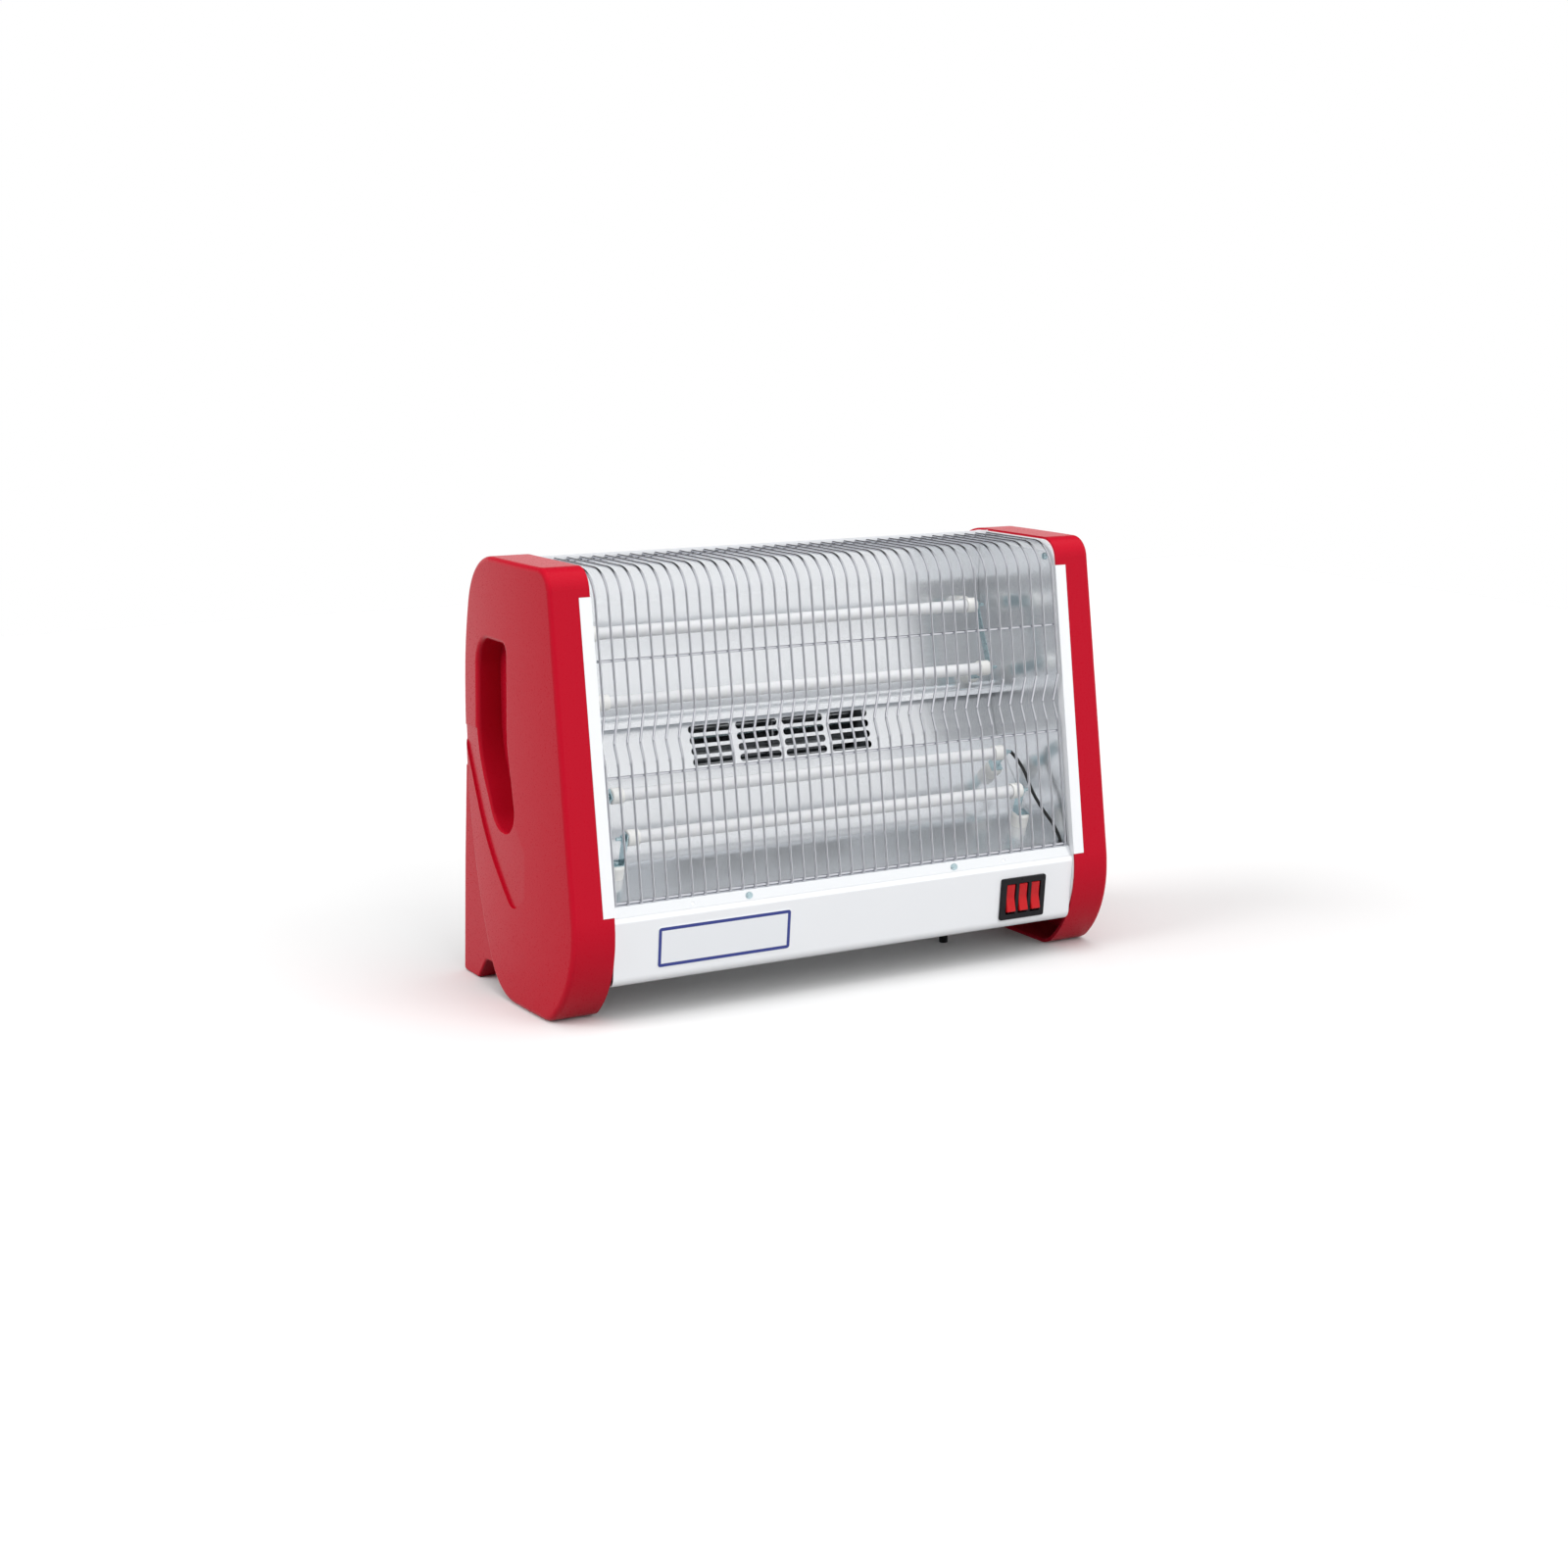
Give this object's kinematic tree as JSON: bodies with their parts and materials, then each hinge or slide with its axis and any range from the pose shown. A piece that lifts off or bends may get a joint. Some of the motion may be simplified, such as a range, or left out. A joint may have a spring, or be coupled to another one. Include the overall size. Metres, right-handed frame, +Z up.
{
  "type": "halogen fan heater",
  "caption": "Free-standing radiant heater with milky heating tubes before bright reflectors, a wire guard, rocker switches, a cross-flow fan and moulded cheeks with handle pockets.",
  "frame": {"origin": "on the floor, under the middle of the heater's box", "axes": "+X to the right of someone facing the grille from the front, +Y to the back, +Z up"},
  "size_m": [0.5572, 0.2316, 0.378],
  "materials": {
    "red_plastic": "satin moulded plastic",
    "white_paint": "smooth semi-gloss paint on sheet steel",
    "bright_sheet": "bright rolled sheet, semi-mirror",
    "bright_wire": "bright plated wire",
    "milky_tube": "milky quartz tube",
    "heating_wire": "coiled heating wire, drawn as its outer round",
    "ceramic": "unglazed white ceramic",
    "zinc": "zinc-plated steel",
    "black_plastic": "black moulded plastic",
    "red_rocker": "bright red translucent plastic",
    "black_rubber": "black sleeve and grommet",
    "label_film": "blank satin film",
    "fan_metal": "plain sheet",
    "motor_iron": "laminated steel",
    "copper": "enamelled winding",
    "bronze": "sintered bearing bush"
  },
  "bodies": {
    "heater": {"left_cheek": "red_plastic", "right_cheek": "red_plastic", "left_side_frame": "white_paint", "right_side_frame": "white_paint", "front_panel": "white_paint", "base_pan": "white_paint", "rear_cover": "white_paint", "left_side_reflector": "bright_sheet", "right_side_reflector": "bright_sheet", "upper_reflector": "bright_sheet", "lower_reflector": "bright_sheet", "guard_wires": "bright_wire", "guard_rods": "bright_wire", "upper_top_tube": "milky_tube", "upper_bottom_tube": "milky_tube", "lower_back_tube": "milky_tube", "lower_front_tube": "milky_tube", "upper_top_coil": "heating_wire", "upper_bottom_coil": "heating_wire", "lower_back_coil": "heating_wire", "lower_front_coil": "heating_wire", "tube_end_caps": "ceramic", "standoff_knobs": "ceramic", "terminal_studs": "zinc", "tube_brackets": "zinc", "knob_screws": "zinc", "link_strap": "zinc", "rocker_pin": "zinc", "switch_terminals": "zinc", "cheek_screws": "zinc", "panel_screws": "zinc", "cover_screws": "zinc", "base_screws": "zinc", "switch_frame": "black_plastic", "tip_switch_body": "black_plastic", "thermal_cutout": "black_plastic", "terminal_block": "black_plastic", "supply_lead": "black_rubber", "cord_grommet": "black_rubber", "label_plate": "label_film", "fan_housing": "fan_metal", "motor_bracket": "fan_metal", "motor_stator": "motor_iron", "motor_coil": "copper", "left_bearing": "bronze", "right_bearing": "bronze"},
    "rocker_1": {"rocker_1": "red_rocker"},
    "rocker_2": {"rocker_2": "red_rocker"},
    "rocker_3": {"rocker_3": "red_rocker"},
    "plunger": {"tip_plunger": "black_plastic"},
    "fan": {"fan_rotor": "fan_metal", "fan_shaft": "zinc", "motor_rotor": "motor_iron"}
  },
  "joints": [
    {"name": "rocker_1_tip", "type": "hinge", "parent": "heater", "child": "rocker_1", "pos_m": [0.1643, -0.10659, 0.05989], "axis": [1, 0, 0], "range_deg": [0, 16]},
    {"name": "rocker_2_tip", "type": "hinge", "parent": "heater", "child": "rocker_2", "pos_m": [0.1777, -0.10659, 0.05989], "axis": [1, 0, 0], "range_deg": [0, 16]},
    {"name": "rocker_3_tip", "type": "hinge", "parent": "heater", "child": "rocker_3", "pos_m": [0.1911, -0.10659, 0.05989], "axis": [1, 0, 0], "range_deg": [0, 16]},
    {"name": "plunger_slide", "type": "slide", "parent": "heater", "child": "plunger", "axis": [0, 0, 1], "range_m": [-0.006, 0], "stiffness_N_per_m": 60, "springref_m": -0.006},
    {"name": "fan_turn", "type": "hinge", "parent": "heater", "child": "fan", "pos_m": [0, 0.054, 0.202], "axis": [1, 0, 0], "continuous": true}
  ]
}
